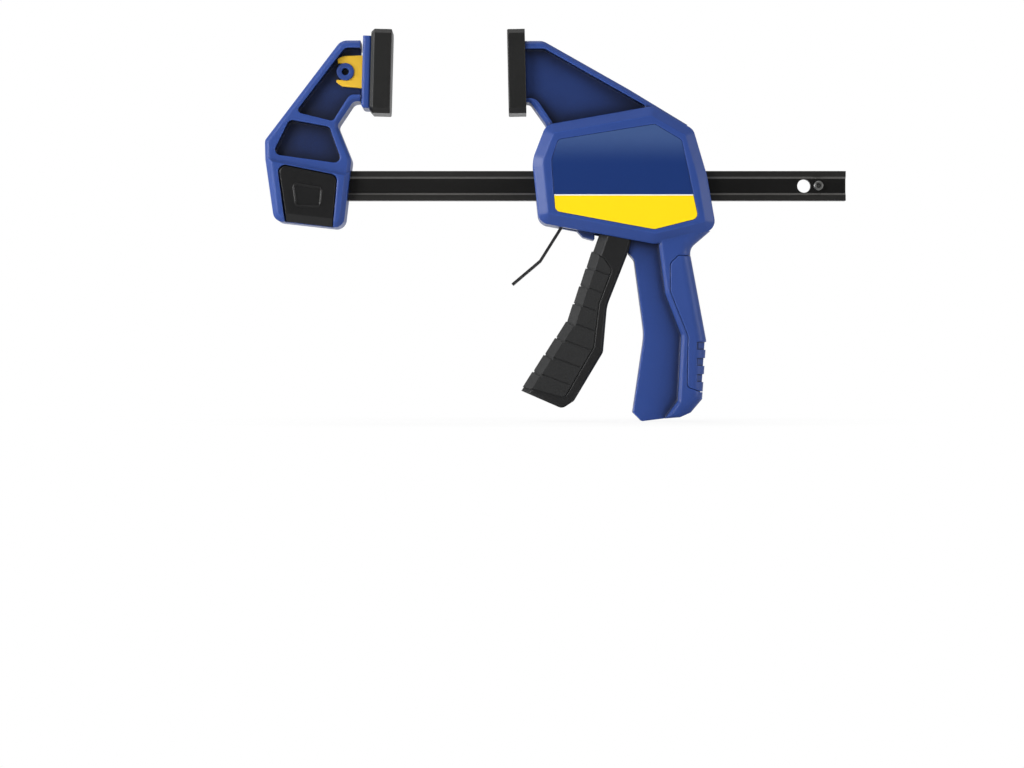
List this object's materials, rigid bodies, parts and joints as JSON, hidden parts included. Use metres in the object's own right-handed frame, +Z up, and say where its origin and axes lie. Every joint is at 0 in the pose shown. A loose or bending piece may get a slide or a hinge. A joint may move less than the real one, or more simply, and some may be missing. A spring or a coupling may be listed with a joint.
{
  "type": "quick release bar clamp",
  "caption": "One-handed bar clamp: a flat bar with a jaw head and swivelling pad slides through a pistol-grip housing with an upright padded jaw, a squeeze trigger and a release tail.",
  "frame": {"origin": "middle of the housing jaw pad's clamping face, on the clamp's middle plane", "axes": "+X along the bar from the jaw head to the bar's free end, +Z up from the bar to the jaws, +Y towards the back of the clamp"},
  "size_m": [0.405, 0.0401, 0.2729],
  "materials": {
    "housing_plastic": "satin glass-filled nylon, blue",
    "grip_rubber": "soft blue overlay",
    "pad_rubber": "satin black pad",
    "bar_steel": "black oxide, satin",
    "bright_steel": "plain steel",
    "spring_steel": "oiled wire",
    "dark_steel": "black plated sheet and screws",
    "yellow_plastic": "satin yellow",
    "black_plastic": "satin black",
    "trigger_rubber": "matt dark overlay",
    "label_sheet": "printed plate, dark blue over yellow"
  },
  "bodies": {
    "housing": {"housing_front": "housing_plastic", "housing_back": "housing_plastic", "housing_jaw_pad": "pad_rubber", "label_plate": "label_sheet", "handle_grip": "grip_rubber", "trigger_pin": "bright_steel", "drive_spring": "spring_steel", "brake_spring": "spring_steel"},
    "bar_and_head": {"bar": "bar_steel", "stop_pins": "dark_steel", "jaw_head": "housing_plastic", "button_spring": "spring_steel"},
    "swivel": {"pad_carrier": "housing_plastic", "swivel_fork": "yellow_plastic", "swivel_jaw_pad": "pad_rubber"},
    "button": {"release_button": "black_plastic", "lock_peg": "bright_steel"},
    "trigger": {"trigger_lever": "black_plastic", "trigger_grip": "trigger_rubber"},
    "drive": {"drive_plates": "bright_steel"},
    "release": {"release_lever": "dark_steel"}
  },
  "joints": [
    {"name": "bar_slide", "type": "slide", "parent": "housing", "child": "bar_and_head", "axis": [1, 0, 0], "range_m": [-0.07, 0.0794]},
    {"name": "trigger_pull", "type": "hinge", "parent": "housing", "child": "trigger", "pos_m": [0.084, 0, -0.0635], "axis": [0, -1, 0], "range_deg": [0, 18], "stiffness_Nm_per_rad": 0.8, "springref_deg": -17.19},
    {"name": "plate_drive", "type": "slide", "parent": "housing", "child": "drive", "axis": [1, 0, 0], "range_m": [0, 0.01], "deforming": ["drive_spring"]},
    {"name": "release_press", "type": "hinge", "parent": "housing", "child": "release", "pos_m": [0.0486, 0, -0.062], "axis": [0, -1, 0], "range_deg": [0, 8], "stiffness_Nm_per_rad": 0.5, "springref_deg": -11.46, "deforming": ["brake_spring"]},
    {"name": "pad_swivel", "type": "hinge", "parent": "bar_and_head", "child": "swivel", "pos_m": [-0.1132, 0, 0], "axis": [0, -1, 0], "range_deg": [-1, 4]},
    {"name": "button_press", "type": "slide", "parent": "bar_and_head", "child": "button", "axis": [0, 1, 0], "range_m": [0, 0.0035], "stiffness_N_per_m": 800, "springref_m": -0.002, "deforming": ["button_spring"]}
  ],
  "couplings": [
    {"joint": "plate_drive", "follows": "trigger_pull", "m_per_rad": 0.0315}
  ]
}
